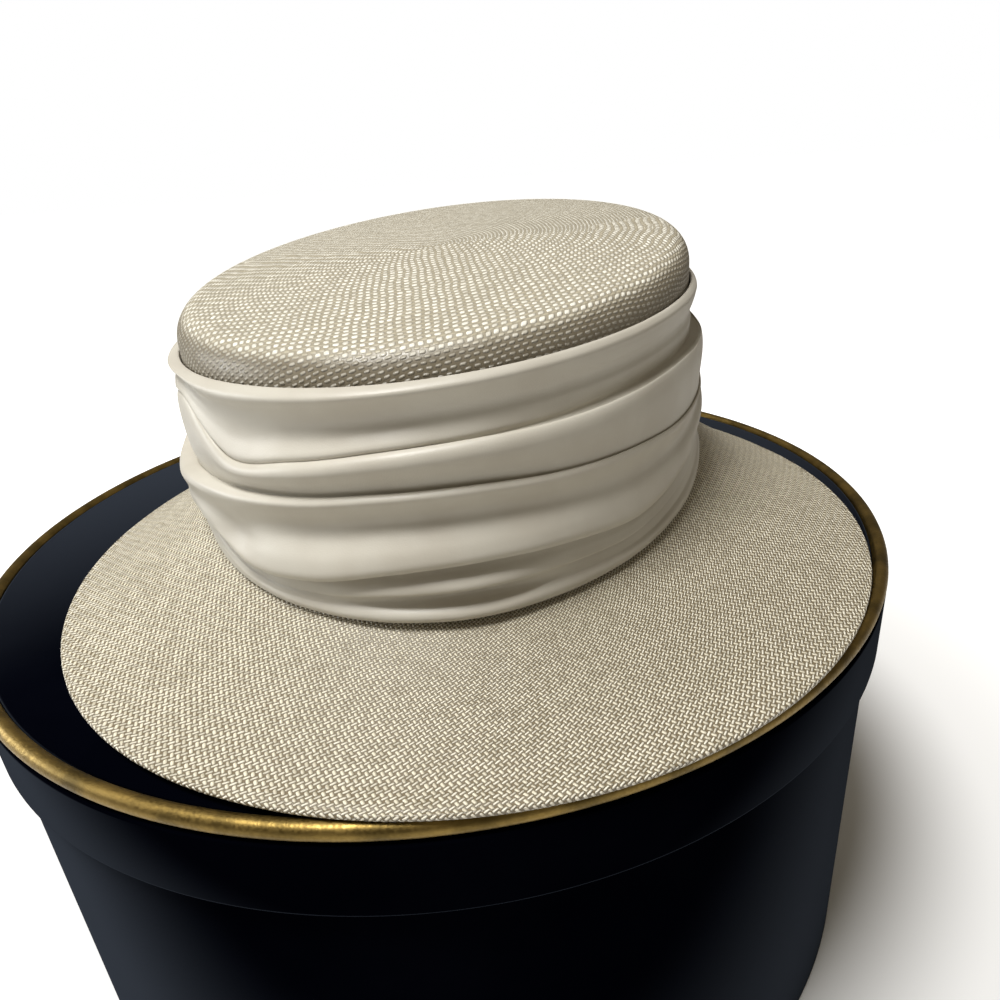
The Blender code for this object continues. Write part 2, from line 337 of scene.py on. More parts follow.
def mesh_object(name, points, corners, sizes, maps, finish, stands_for):
    """Put the arrays into a mesh, give it its finish and hand it to the frame."""
    corners, sizes = np.concatenate(corners), np.concatenate(sizes).astype(int)
    mesh = bpy.data.meshes.new(name)
    mesh.vertices.add(len(points))
    mesh.vertices.foreach_set("co", points.ravel())
    mesh.loops.add(len(corners))
    mesh.loops.foreach_set("vertex_index", corners)
    mesh.polygons.add(len(sizes))
    mesh.polygons.foreach_set("loop_start", np.concatenate([[0], np.cumsum(sizes)[:-1]]))
    mesh.uv_layers.new(name="cells").uv.foreach_set("vector", np.concatenate(maps).ravel())
    mesh.update(calc_edges=True)
    mesh.validate()
    mesh.shade_smooth()
    mesh.materials.append(finish)
    made = bpy.data.objects.new(name, mesh)
    bpy.context.collection.objects.link(made)
    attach(made, "root")
    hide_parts(*stands_for)
    return made


# Crown


def crown_side(turn, inset):
    """The crown's rows of points from its foot to its centre, moved inwards by the inset.

    The wall leans in by the taper, the edge is a quarter of a circle, and the flat top is a
    tilted plane with a dome that falls off by the square of the way out to its edge.
    """
    edge = CROWN_EDGE - inset
    top = CROWN_HEIGHT - inset
    rise = tilted(crown_oval(turn), top - edge, TOP_TILT) - seam(turn)
    levels = []
    for share in np.linspace(0, 1, WALL_ROWS)[:, None]:
        levels.append(with_height(crown_oval(turn, -inset - CROWN_TAPER * share), seam(turn) + rise * share))
    for bend in np.linspace(0, math.pi / 2, EDGE_ROWS)[1:]:
        plan = crown_oval(turn, -inset - CROWN_TAPER - edge * (1 - math.cos(bend)))
        levels.append(with_height(plan, tilted(plan, top - edge * (1 - math.sin(bend)), TOP_TILT)))
    centre = np.array([CROWN_X, CROWN_Y])
    flat_edge = crown_oval(turn, -CROWN_TAPER - CROWN_EDGE)
    for share in np.geomspace(1.0, INNER_RING, TOP_ROWS)[1:]:
        plan = centre + (flat_edge - centre) * share
        levels.append(with_height(plan, tilted(plan, top + CROWN_DOME * (1 - share**2), TOP_TILT)))
    return np.array(levels)


def woven_cells(reach, angle, spread):
    """UV map in cells: the distance to a power, turned by half the angle round the centre.

    Rows of cells then turn half as fast as the edge does. At the back the map meets itself upside
    down, and the weave looks the same that way up.
    """
    grown = spread.count * reach**spread.power
    half = angle / 2 + spread.turned
    u, v = grown * np.sin(half), -grown * np.cos(half)
    return np.stack([u, (v - spread.lean * u) / spread.shape], axis=-1)


def angle_round(points, spread):
    """The angle and distance of each point from a centre in plan, with the closing turn at the end.

    Every row starts at the back on the -X side.
    """
    plan = np.concatenate([points, points[:, :1]], axis=1) - [spread.centre_x, spread.centre_y, 0.0]
    angle = np.unwrap(np.arctan2(plan[..., 0], -plan[..., 1]), axis=1)
    return angle - 2 * np.pi * (angle[:, :1] > 0), np.linalg.norm(plan[..., :2], axis=-1)


def straw_crown(finish):
    """The wall and top as one sheet of the straw's thickness, inner face first.

    The cells spread by the length along each face from its innermost ring.
    """
    turn = turns(CROWN_TURNS)
    points = np.concatenate([crown_side(turn, STRAW)[::-1], crown_side(turn, 0.0)])
    angle, away = angle_round(points, CROWN_SPREAD)
    step = np.linalg.norm(np.diff(points, axis=0), axis=-1)
    half = len(points) // 2
    start = np.zeros((1, len(turn)))
    inner = np.concatenate([start, np.cumsum(step[: half - 1], axis=0)])
    outer = np.concatenate([np.cumsum(step[half:][::-1], axis=0)[::-1], start])
    reach = np.concatenate([inner, outer])
    reach = np.concatenate([reach, reach[:, :1]], axis=1) + away[-1]
    cells = woven_cells(reach, angle, CROWN_SPREAD)
    return piece("woven_crown", points, cells, finish, ["straw_crown"])


# Brim


def edge_rise(edge):
    """The brim's edge lies on the lid, and climbs onto the bead where it reaches it."""
    shoulder, _, _ = lid_step()
    from_axis = np.linalg.norm(edge, axis=-1)
    return BEAD_RISE * np.clip((from_axis - shoulder) / EDGE_CLIMB + 1, 0.0, 1.0)


def brim_section(turn):
    """Upper face of the brim as (out, height) rows, with its edge in plan and its reach.

    A straight collar, a fillet that is part of a circle, and a slope that is a quadratic curve
    from the fillet's end to the edge.
    """
    inner = -STRAW - GAP
    wall = crown_oval(turn)
    edge = ellipse(turn, BRIM_LENGTH, BRIM_WIDTH, BRIM_X, BRIM_Y)
    edge_height = LID_TOP + GAP + STRAW + edge_rise(edge)
    reach = np.linalg.norm(edge - wall, axis=-1)
    drop = seam(turn) - edge_height
    slope = np.arctan2(SLOPE_DROP * (drop - COLLAR_FILLET), SLOPE_REACH * (reach - COLLAR_FILLET))
    rows = [(np.full_like(turn, inner), seam(turn) + COLLAR)]
    for share in np.linspace(0, 1, FILLET_ROWS):
        bend = share * (np.pi / 2 - slope)
        out = inner + COLLAR_FILLET * (1 - np.cos(bend))
        rows.append((out, seam(turn) - COLLAR_FILLET * np.sin(bend)))
    start_out, start_height = rows[-1]
    for share in np.linspace(0, 1, SLOPE_ROWS)[1:]:
        pull = 2 * share * (1 - share)
        out = start_out + (reach - start_out) * (pull * SLOPE_REACH + share**2)
        rows.append((out, start_height + (edge_height - start_height) * (pull * SLOPE_DROP + share**2)))
    return np.array(rows), edge, reach


def brim_faces(turn):
    """The brim's upper face, its normals, and the headings from the crown's wall to the edge.

    A point moves out along the wall's normal near the crown, and more and more along its heading
    towards the edge.
    """
    rows, edge, reach = brim_section(turn)
    wall = crown_oval(turn)
    heading = (edge - wall) / reach[:, None]
    share = np.clip(rows[:, 0] / reach, 0.0, 1.0)[..., None]
    plan = wall + (outwards(turn) * (1 - share) + heading * share) * rows[:, 0][..., None]
    upper = with_height(plan, rows[:, 1])
    along = np.gradient(upper, axis=0)
    looped = np.concatenate([upper[:, -1:], upper, upper[:, :1]], axis=1)
    across = np.gradient(looped, axis=1)[:, 1:-1]
    normal = np.cross(across, along)
    normal *= np.sign(normal[-1, 0, 2]) / np.linalg.norm(normal, axis=-1, keepdims=True)
    return upper, normal, with_height(heading, 0.0)


def turned_row(foot, normal, heading):
    """Part of a circle round the brim's edge, from above its crest to straight below its middle."""
    radius = TURNED_ROW / 2
    middle = foot + (normal - heading) * radius
    bend = np.linspace(np.pi * 0.6, -np.pi * 0.5, TURNED_ROWS)[:, None, None]
    return middle + (heading * np.cos(bend) + normal * np.sin(bend)) * radius


def swelled(upper, normal, rise):
    """The upper face raised towards its last rows by the square of the way along them."""
    share = np.clip((np.arange(len(upper)) - len(upper) + SWELL_ROWS + 1) / SWELL_ROWS, 0.0, 1.0)
    return upper + normal * (rise * share**2)[:, None, None]


def straw_brim(finish):
    """The upper face, the turned row round the edge, and the face below, a thickness under it.

    The cells spread by the distance from their centre in plan, and over the turned row, which
    hardly moves in plan, by the length along it.
    """
    upper, normal, heading = brim_faces(turns(BRIM_TURNS))
    lower = upper - normal * STRAW
    row = turned_row(lower[-1], normal[-1], heading)
    upper = swelled(upper, normal, TURNED_ROW - STRAW)
    points = np.concatenate([upper[:-1], row, lower[-2::-1]])
    looped = np.concatenate([points, points[:1]])
    angle, away = angle_round(looped, BRIM_SPREAD)
    step = np.abs(np.diff(away, axis=0))
    length = np.linalg.norm(np.diff(looped, axis=0), axis=-1)
    over_row = slice(len(upper) - 2, len(upper) - 2 + TURNED_ROWS)
    step[over_row] = np.concatenate([length, length[:, :1]], axis=1)[over_row]
    reach = away[:1] + np.concatenate([0 * step[:1], np.cumsum(step, axis=0)])
    cells = woven_cells(reach, angle, BRIM_SPREAD)
    return piece("woven_brim", points, cells, finish, ["straw_brim"], closed=True)


# Band


def round_the_band(turn, column):
    """Smooth closed curve through one column of the drape table."""
    values = np.array([getattr(row, column) for row in DRAPES])
    place_in = np.mod(turn, 2 * np.pi) / (2 * np.pi) * len(DRAPES)
    first = np.floor(place_in).astype(int) % len(DRAPES)
    t = place_in - np.floor(place_in)
    before, here, after, last = (values[(first + shift) % len(DRAPES)] for shift in (-1, 0, 1, 2))
    slope_here, slope_after = (after - before) / 2, (last - here) / 2
    cubic = (2 * t**3 - 3 * t**2 + 1) * here + (3 * t**2 - 2 * t**3) * after
    return cubic + (t**3 - 2 * t**2 + t) * slope_here + (t**3 - t**2) * slope_after


def ripples(turn, share):
    """Slight unevenness of the cloth: a few slanted waves of a seeded phase and length."""
    chance = np.random.default_rng(7)
    total = np.zeros(np.broadcast(turn, share).shape)
    for waves in (3, 5, 8, 13, 21, 34):
        lean, phase = chance.uniform(-9, 9), chance.uniform(0, 6.28)
        total += np.sin(waves * turn + lean * share + phase) / waves**0.5
    return total


def height_on_brim(turn, out):
    """Height of the brim's upper face at a distance out, on straight lines between its rows."""
    rows, _, _ = brim_section(turn)
    outs, heights = rows[1:, 0], rows[1:, 1]
    here = (outs <= out).sum(axis=0) - 1
    at = np.arange(len(turn))
    share = (out - outs[here, at]) / (outs[here + 1, at] - outs[here, at])
    return heights[here, at] + (heights[here + 1, at] - heights[here, at]) * share


def band_folds(turn):
    """Share of the height above the hem and metres out from the crown, in rows down the folds.

    Each fold lies between its upper and its lower line. Its rows stand out less by its own drape
    column and more by full, all drawn towards a plain band by relief, and a smooth curve runs
    through them.
    """
    brow, relief, full, pocket, *inner_lines = (
        round_the_band(turn, column)
        for column in ("brow", "relief", "full", "pocket", "high", "mid", "low")
    )
    lines = [np.ones_like(turn), *inner_lines, np.zeros_like(turn)]
    folds = (
        (TOP_FOLD, brow, 1.0),
        (HIGH_FOLD, 1.0, relief),
        (MID_FOLD, 1.0, relief),
        (LOW_FOLD, pocket, 1.0),
    )
    places = []
    for (fold, drape, lift), upper, lower in zip(folds, lines, lines[1:]):
        for row in fold:
            out = row.stands_out - row.less * (1 - drape) + row.more * full
            out = PLAIN_BAND + (out - PLAIN_BAND) * lift
            share = upper + (lower - upper) * row.way_down
            places.append(np.stack([share, out * np.ones_like(turn)], axis=-1))
    places = smooth_rows(np.array(places), FOLD_STEPS)
    return places[..., 0], places[..., 1] / 1000


def uneven(turn, share, out):
    """The distance out, less the dent's bell curve, with ripples that fade where it is small."""
    from_dent = ((turn - DENT.turn) / DENT.wide) ** 2 + ((share - DENT.share) / DENT.tall) ** 2
    out = out - DENT.deep * np.exp(-from_dent)
    ripple = ripples(turn, share) * RIPPLE * np.clip(out / RIPPLES_FROM, 0, 1)
    return np.maximum(out + ripple, GAP)


def satin_band(finish):
    """The four folds from the top line to the hem, then back up behind them to the top."""
    turn = turns(BAND_TURNS)
    hem = height_on_brim(turn, HEM_OUT) + 2 * GAP
    top = tilted(crown_oval(turn), CROWN_HEIGHT - STRAW_SHOWING, BAND_TILT)
    share, out = band_folds(turn)
    out = uneven(turn, share, out)
    front = with_height(crown_oval(turn, out - BAND_TAPER * share), hem + (top - hem) * share)
    tucked = with_height(crown_oval(turn, GAP), height_on_brim(turn, GAP) + 2 * GAP)
    behind = with_height(crown_oval(turn, GAP - BAND_TAPER), top - TUCKED_BELOW)
    points = np.concatenate([front, tucked[None], (tucked + behind)[None] / 2, behind[None]])
    step = np.linalg.norm(np.diff(points, axis=0), axis=-1).mean(axis=1)
    along = np.concatenate([[0.0], np.cumsum(step), [0.0]])
    u = np.broadcast_to(share_round(BAND_TURNS) * CLOTH_LENGTH, (len(along), BAND_TURNS + 1))
    cells = np.stack([u, np.broadcast_to(along[:, None], u.shape)], axis=-1)
    return piece("satin_band", points, cells, finish, ["draped_band"], closed=True)


# Hat box


def lid_radii():
    """Inner and outer radius of the lid's skirt, which clears the body by the lid's fit."""
    inside = BOX_RADIUS + LID_FIT
    return inside, inside + LID_WALL


def bead_centre():
    """Radius and height of the bead's centre: level with the skirt outside, proud of the top."""
    _, outside = lid_radii()
    return outside - BEAD_RADIUS, LID_TOP + BEAD_RISE - BEAD_RADIUS


def lid_step():
    """Radius and height of the shoulder that the bead sits in, and the step's underside."""
    radius, height = bead_centre()
    ledge = height - BEAD_RADIUS - GAP
    return radius - BEAD_RADIUS - GAP, ledge, ledge - LID_WALL


def rounded(profile, radius):
    """The profile with each corner replaced by a short quadratic curve from side to side."""
    profile = np.array(profile)
    t = np.linspace(0, 1, CORNER_STEPS)[:, None]
    points = [profile[:1]]
    for before, corner, after in zip(profile, profile[1:], profile[2:]):
        reach_in, reach_out = before - corner, after - corner
        start = corner + reach_in * min(radius / np.linalg.norm(reach_in), 0.45)
        end = corner + reach_out * min(radius / np.linalg.norm(reach_out), 0.45)
        points.append(start * (1 - t) ** 2 + corner * 2 * t * (1 - t) + end * t**2)
    return np.concatenate(points + [profile[-1:]])


def turned_round(name, profile, finish, node, closed=False):
    """A profile of (radius, height) carried round the box's axis."""
    turn = turns(BOX_TURNS)
    radius, height = profile[:, :1], profile[:, 1:]
    points = np.stack([radius * np.sin(turn), -radius * np.cos(turn), height + 0 * turn], axis=-1)
    step = np.linalg.norm(np.diff(profile, axis=0), axis=-1)
    along = np.concatenate([[0.0], np.cumsum(step)])
    if closed:
        along = np.append(along, along[-1] + step[0])
    u = np.broadcast_to(np.linspace(0, 1, BOX_TURNS + 1), (len(along), BOX_TURNS + 1))
    cells = np.stack([u, np.broadcast_to(along[:, None], u.shape)], axis=-1)
    return piece(name, points, cells, finish, [node], closed)


def hat_box_body(finish):
    """A floor and a straight wall that ends just under the lid's step."""
    inside = BOX_RADIUS - BOX_WALL
    _, _, step_under = lid_step()
    rim = step_under - GAP
    profile = [(POLE, BOX_WALL), (inside, BOX_WALL), (inside, rim), (BOX_RADIUS, rim)]
    profile += [(BOX_RADIUS, 0.0), (POLE, 0.0)]
    return turned_round("box_body", rounded(profile, BOARD_ROUND), finish, "hat_box_body")


def hat_box_lid(finish):
    """Flat top with a shoulder for the bead, and a skirt that slips over the body."""
    inside, outside = lid_radii()
    shoulder, ledge, step_under = lid_step()
    foot = LID_TOP - LID_SKIRT
    under = LID_TOP - LID_WALL
    profile = [(POLE, LID_TOP), (shoulder, LID_TOP), (shoulder, ledge), (outside, ledge)]
    profile += [(outside, foot), (inside, foot), (inside, step_under)]
    profile += [(shoulder - LID_WALL, step_under), (shoulder - LID_WALL, under), (POLE, under)]
    return turned_round("box_lid", rounded(profile, BOARD_ROUND), finish, "hat_box_lid")


def gold_bead(finish):
    """A circle carried round the box's axis."""
    radius, height = bead_centre()
    angle = np.linspace(0, 2 * np.pi, BEAD_STEPS, endpoint=False)
    profile = np.stack([radius + BEAD_RADIUS * np.cos(angle), height + BEAD_RADIUS * np.sin(angle)], -1)
    return turned_round("gold_bead", profile, finish, "lid_gold_bead", closed=True)


# Finishes

FLOAT_OUTPUTS = ("Height", "Falls", "Chance")

# How far the straw's normal points up, from where a wall's looks end to where a flat top's are full
LYING = (0.55, 0.9)

# Colours of floats that rise, painted bright as a glint, and that fall, painted dim as shade where
# the straw lies flat; of the gaps between them on top and on a wall, the wall's gap painted darker
# as shade; and the share in which floats show on a wall, which dims them towards the gap as painted shade
Tones = namedtuple("Tones", "bright dim gap wall_gap wall_share")
DEEP = (0.19, 0.15, 0.09, 1.0)
BRIM_TONES = Tones((0.90, 0.85, 0.71, 1.0), (0.80, 0.74, 0.58, 1.0), DEEP, DEEP, 1.0)
# The crown's wall is painted darker than its top as shade: darker gaps, and floats dimmed to a share.
CROWN_TONES = Tones(
    bright=(0.87, 0.84, 0.74, 1.0),
    dim=(0.50, 0.45, 0.33, 1.0),
    gap=(0.37, 0.33, 0.25, 1.0),
    wall_gap=(0.19, 0.16, 0.11, 1.0),
    wall_share=0.27,
)

# The floats of each weave: slopes are angles in radians, reach and width half a float's length
# and breadth in cells, and wobble how many cells they wander. The top's values take over from
# the wall's where the crown's straw lies flat.
BRIM_WEAVE = {
    "Wobble": 0.8,
    "Rising slope": 0.62,
    "Rising reach": 0.45,
    "Rising width": 0.2,
    "Falling slope": -0.85,
    "Falling reach": 0.45,
    "Falling width": 0.24,
    "Falling height": 1.0,
}
WALL_WEAVE = {
    "Wobble": 0.6,
    "Rising slope": -0.05,
    "Rising reach": 0.38,
    "Rising width": 0.17,
    "Falling slope": -0.05,
    "Falling reach": 0.38,
    "Falling width": 0.17,
    "Falling height": 1.0,
}
TOP_WEAVE = {
    "Wobble": 1.1,
    "Rising reach": 0.38,
    "Rising width": 0.33,
    "Falling width": 0.2,
    "Falling height": 0.4,
}


class Graph:
    """Short words for adding shader nodes to a tree and linking them."""

    def __init__(self, tree):
        self.tree = tree

    def put(self, socket, value):
        if isinstance(value, bpy.types.NodeSocket):
            self.tree.links.new(value, socket)
        else:
            socket.default_value = value

    def node(self, kind, inputs=(), **settings):
        made = self.tree.nodes.new(kind)
        for key, value in settings.items():
            setattr(made, key, value)
        for key, value in dict(inputs).items():
            self.put(made.inputs[key], value)
        return made

    def maths(self, operation, *values):
        return self.node("ShaderNodeMath", enumerate(values), operation=operation).outputs[0]

    def ramp(self, value, low, high, start=0.0, end=1.0):
        """The value mapped smoothly from low..high to start..end."""
        inputs = {"Value": value, "From Min": low, "From Max": high, "To Min": start, "To Max": end}
        return self.node("ShaderNodeMapRange", inputs, interpolation_type="SMOOTHSTEP").outputs[0]

    def mix(self, share, first, second, blend="MIX"):
        inputs = {"Factor": share, 6: first, 7: second}
        return self.node("ShaderNodeMix", inputs, data_type="RGBA", blend_type=blend).outputs[2]

    def mix_values(self, share, first, second):
        return self.node("ShaderNodeMix", {0: share, 2: first, 3: second}).outputs[0]

    def noise(self, vector, scale, detail=3.0):
        inputs = {"Vector": vector, "Scale": scale, "Detail": detail}
        return self.node("ShaderNodeTexNoise", inputs).outputs["Fac"]

    def group(self, tree, inputs):
        made = self.tree.nodes.new("ShaderNodeGroup")
        made.node_tree = tree
        for key, value in inputs.items():
            self.put(made.inputs[key], value)
        return made.outputs


def new_group(name, inputs, outputs):
    """A node group with its sockets, and the sockets to read from and to write to."""
    tree = bpy.data.node_groups.new(name, "ShaderNodeTree")
    for label, kind in inputs:
        tree.interface.new_socket(label, in_out="INPUT", socket_type=kind)
    for label, kind in outputs:
        tree.interface.new_socket(label, in_out="OUTPUT", socket_type=kind)
    given = tree.nodes.new("NodeGroupInput").outputs
    return Graph(tree), given, tree.nodes.new("NodeGroupOutput").inputs


def woven_floats():
    """The floats of a plain weave that lies aslant: one that rises and one that falls to each cell.

    With u and v in cells, a float is a little dome round its centre: 1, less the fourth power of
    the way along it and the square of the way across it. Rising floats sit where u and v are whole
    numbers, and falling ones halfway between four of them.
    """
    number, vector = "NodeSocketFloat", "NodeSocketVector"
    wants = [("Cells", vector), ("Place", vector)] + [(label, number) for label in BRIM_WEAVE]
    g, given, out = new_group("woven floats", wants, [(label, number) for label in FLOAT_OUTPUTS])
    wander = g.node("ShaderNodeTexNoise", {"Vector": given["Place"], "Scale": 85.0, "Detail": 2.0})
    shift = g.node("ShaderNodeSeparateXYZ", {0: wander.outputs["Color"]}).outputs
    parts = g.node("ShaderNodeSeparateXYZ", {0: given["Cells"]}).outputs
    u, v = (
        g.maths("MULTIPLY_ADD", g.maths("SUBTRACT", shift[axis], 0.5), given["Wobble"], parts[axis])
        for axis in (0, 1)
    )

    def dome(name, aside):
        """Height over a float whose centre is at whole numbers, plus aside, and its own chance."""
        at_u, at_v = g.maths("SUBTRACT", u, aside), g.maths("SUBTRACT", v, aside)
        cell_u, cell_v = g.maths("ROUND", at_u), g.maths("ROUND", at_v)
        du, dv = g.maths("SUBTRACT", at_u, cell_u), g.maths("SUBTRACT", at_v, cell_v)
        slope = given[f"{name} slope"]
        cosine, sine = g.maths("COSINE", slope), g.maths("SINE", slope)
        along = g.maths("ADD", g.maths("MULTIPLY", du, cosine), g.maths("MULTIPLY", dv, sine))
        across = g.maths("SUBTRACT", g.maths("MULTIPLY", dv, cosine), g.maths("MULTIPLY", du, sine))
        far = g.maths("ABSOLUTE", g.maths("DIVIDE", along, given[f"{name} reach"]))
        wide = g.maths("ABSOLUTE", g.maths("DIVIDE", across, given[f"{name} width"]))
        rise = g.maths("SUBTRACT", 1.0, g.maths("POWER", far, 4.0))
        rise = g.maths("SUBTRACT", rise, g.maths("POWER", wide, 2.0))
        spot = g.node("ShaderNodeCombineXYZ", {0: cell_u, 1: cell_v, 2: aside}).outputs[0]
        chance = g.node("ShaderNodeTexWhiteNoise", {"Vector": spot}, noise_dimensions="3D").outputs[0]
        return g.maths("MAXIMUM", rise, 0.0), chance

    rising, rising_chance = dome("Rising", 0.0)
    falling, falling_chance = dome("Falling", 0.5)
    falling = g.maths("MULTIPLY", falling, given["Falling height"])
    falls = g.ramp(g.maths("SUBTRACT", falling, rising), -0.02, 0.02)
    g.put(out["Height"], g.maths("MAXIMUM", rising, falling))
    g.put(out["Falls"], falls)
    g.put(out["Chance"], g.mix_values(falls, rising_chance, falling_chance))
    return g.tree


def finish_base(name, roughness, specular=0.5, metallic=0.0):
    """A new material, its graph, its shader's inputs and its texture coordinates."""
    made = bpy.data.materials.new(name)
    made.use_nodes = True
    g = Graph(made.node_tree)
    shader = made.node_tree.nodes["Principled BSDF"]
    shader.inputs["Roughness"].default_value = roughness
    shader.inputs["Specular IOR Level"].default_value = specular
    shader.inputs["Metallic"].default_value = metallic
    where = g.node("ShaderNodeTexCoord").outputs
    return made, g, shader.inputs, where


def straw_finish(name, floats, weave, on_top, tones, finer_behind=0.0):
    """Cream floats over darker gaps, each float of its own shade, in soft relief.

    Where the straw faces up, the values of on_top take over from those of weave, and the gap's
    colour from the wall gap's. Rising floats are painted bright as a glint, and where the straw lies
    flat the falling ones are painted dim as shade; on a wall the tones' wall values dim the floats
    towards the gap and darken the gap, both painted shade. Behind the crown's centre, where the
    map's cells are long, they are cut finer by a factor.
    """
    made, g, shader, where = finish_base(name, 0.4, 0.6)
    normal = g.node("ShaderNodeNewGeometry").outputs["Normal"]
    facing = g.node("ShaderNodeSeparateXYZ", {0: normal}).outputs[2]
    lying = g.ramp(facing, *LYING)
    taken_over = {key: g.ramp(facing, *LYING, weave[key], value) for key, value in on_top.items()}
    values = {"Place": where["Object"], **weave, **taken_over}
    woven = g.group(floats, {"Cells": where["UV"], **values})
    if finer_behind:
        scale = {0: where["UV"], 1: (1.0, finer_behind, 1.0)}
        cells = g.node("ShaderNodeVectorMath", scale, operation="MULTIPLY").outputs[0]
        finer = g.group(floats, {"Cells": cells, **values})
        share = behind_share(g, where["Object"])
        woven = {key: g.mix_values(share, woven[key], finer[key]) for key in FLOAT_OUTPUTS}
    chance = g.ramp(woven["Chance"], 0.0, 1.0, 0.74, 1.12)
    patch = g.ramp(g.noise(where["Object"], 38.0), 0.3, 0.7, 0.94, 1.04)
    slub = g.ramp(g.noise(where["Object"], 420.0, 2.0), 0.35, 0.65, 0.88, 1.08)
    tone = g.maths("MULTIPLY", g.maths("MULTIPLY", chance, patch), slub)
    # Painted glint and shade: rising floats take the bright colour, and falling ones, where the straw lies
    # flat, the dim one.
    straw = g.mix(g.maths("MULTIPLY", woven["Falls"], lying), tones.bright, tones.dim)
    # Painted shade on a wall: the floats' tone is dimmed by the wall's share.
    wall_shaded_tone = g.maths("MULTIPLY", tone, g.ramp(facing, *LYING, tones.wall_share, 1.0))
    crest = g.maths("MULTIPLY", g.ramp(woven["Height"], 0.0, 0.5), wall_shaded_tone)
    # Painted shade on a wall: its gaps take the darker wall gap colour.
    between = g.mix(lying, tones.wall_gap, tones.gap)
    g.put(shader["Base Color"], g.mix(crest, between, straw))
    g.put(shader["Roughness"], g.ramp(woven["Chance"], 0.0, 1.0, 0.3, 0.5))
    fibre = g.noise(where["Object"], 2600.0, 2.0)
    height = g.maths("MULTIPLY_ADD", fibre, 0.12, woven["Height"])
    bump = g.node("ShaderNodeBump", {"Height": height, "Distance": 0.0004, "Strength": 1.0})
    g.put(shader["Normal"], bump.outputs[0])
    return made


def behind_share(g, place):
    """1 behind the crown's centre and 0 in front of it, with a ragged border between them."""
    inwards = g.node("ShaderNodeVectorMath", {0: place, 1: (CROWN_X, CROWN_Y, 0.0)}, operation="SUBTRACT")
    flat = g.node("ShaderNodeVectorMath", {0: inwards.outputs[0], 1: (1.0, 1.0, 0.0)}, operation="MULTIPLY")
    heading = g.node("ShaderNodeVectorMath", {0: flat.outputs[0]}, operation="NORMALIZE").outputs[0]
    back = g.node("ShaderNodeSeparateXYZ", {0: heading}).outputs[1]
    return g.ramp(g.maths("MULTIPLY_ADD", g.noise(place, 60.0, 2.0), 0.8, back), 0.5, 0.62)


def satin_finish():
    """Ivory satin: a fine thread grain, slight soft mottling and a broad sheen."""
    made, g, shader, where = finish_base("ivory satin", 0.42, 0.45)
    shader["Sheen Weight"].default_value = 0.06
    shader["Sheen Roughness"].default_value = 0.4
    mottle = g.ramp(g.noise(where["Object"], 60.0), 0.3, 0.7)
    colour = g.mix(mottle, (0.52, 0.485, 0.415, 1.0), (0.56, 0.53, 0.46, 1.0))
    g.put(shader["Base Color"], colour)
    grain = g.noise(where["Object"], 2200.0, 2.0)
    soft = g.noise(where["Object"], 130.0, 2.0)
    height = g.maths("MULTIPLY_ADD", soft, 2.5, grain)
    bump = g.node("ShaderNodeBump", {"Height": height, "Distance": 0.00006, "Strength": 0.6})
    g.put(shader["Normal"], bump.outputs[0])
    return made


def board_finish():
    """Dark navy paper: fine tooth, faint scuffs of a slightly lighter tone, and a painted sheen that
    lightens it where seen at a glancing angle.
    """
    made, g, shader, where = finish_base("navy paper", 0.5, 0.0)
    scuff = g.ramp(g.noise(where["Object"], 14.0, 6.0), 0.45, 0.75)
    colour = g.mix(scuff, (0.0006, 0.0008, 0.0022, 1.0), (0.0014, 0.0017, 0.0036, 1.0))
    # Painted sheen: the colour turns a paler navy where the surface is seen at a glancing angle.
    painted_glancing_sheen = g.ramp(g.node("ShaderNodeLayerWeight", {"Blend": 0.5}).outputs["Facing"], 0.5, 0.85)
    g.put(shader["Base Color"], g.mix(painted_glancing_sheen, colour, (0.03, 0.036, 0.048, 1.0)))
    tooth = g.noise(where["Object"], 900.0, 4.0)
    g.put(shader["Roughness"], g.ramp(tooth, 0.3, 0.7, 0.45, 0.6))
    bump = g.node("ShaderNodeBump", {"Height": tooth, "Distance": 0.00006, "Strength": 0.5})
    g.put(shader["Normal"], bump.outputs[0])
    return made


def gold_finish():
    """Gold-coloured bead: satin metal with fine streaks along it and duller patches."""
    made, g, shader, where = finish_base("gold bead", 0.45, 0.5, 1.0)
    worn = g.ramp(g.noise(where["Object"], 90.0, 5.0), 0.35, 0.7)
    g.put(shader["Base Color"], g.mix(worn, (0.28, 0.19, 0.056, 1.0), (0.13, 0.09, 0.028, 1.0)))
    grain = g.noise(where["Object"], 1400.0, 3.0)
    g.put(shader["Roughness"], g.ramp(grain, 0.3, 0.7, 0.36, 0.56))
    bump = g.node("ShaderNodeBump", {"Height": grain, "Distance": 0.0001, "Strength": 0.6})
    g.put(shader["Normal"], bump.outputs[0])
    return made


# Stage


def add_camera():
    """The camera at its place, its axes made from the directions to its right and down."""
    lens = bpy.data.cameras.new("camera")
    lens.sensor_width = 36.0
    lens.lens = LENS_MM
    lens.clip_start = 0.01
    made = bpy.data.objects.new("camera", lens)
    right = np.array(CAMERA_RIGHT) / np.linalg.norm(CAMERA_RIGHT)
    up = -np.array(CAMERA_DOWN) / np.linalg.norm(CAMERA_DOWN)
    axes = np.stack([right, up, np.cross(right, up)], axis=1)
    made.matrix_world = Matrix.Translation(CAMERA_AT) @ Matrix(axes.tolist()).to_4x4()
    bpy.context.collection.objects.link(made)
    bpy.context.scene.camera = made


def add_softbox(name, at, size, watts, colour, aim=(0.0, 0.0, 0.2)):
    """A round light at a place, turned towards the hat's middle."""
    light = bpy.data.lights.new(name, "AREA")
    light.shape = "DISK"
    light.size = size
    light.energy = watts
    light.color = colour
    made = bpy.data.objects.new(name, light)
    back = np.array(at) - np.array(aim)
    back = back / np.linalg.norm(back)
    right = np.cross([0.0, 0.0, 1.0], back)
    right = right / np.linalg.norm(right)
    axes = np.stack([right, np.cross(back, right), back], axis=1)
    made.matrix_world = Matrix.Translation(at) @ Matrix(axes.tolist()).to_4x4()
    bpy.context.collection.objects.link(made)


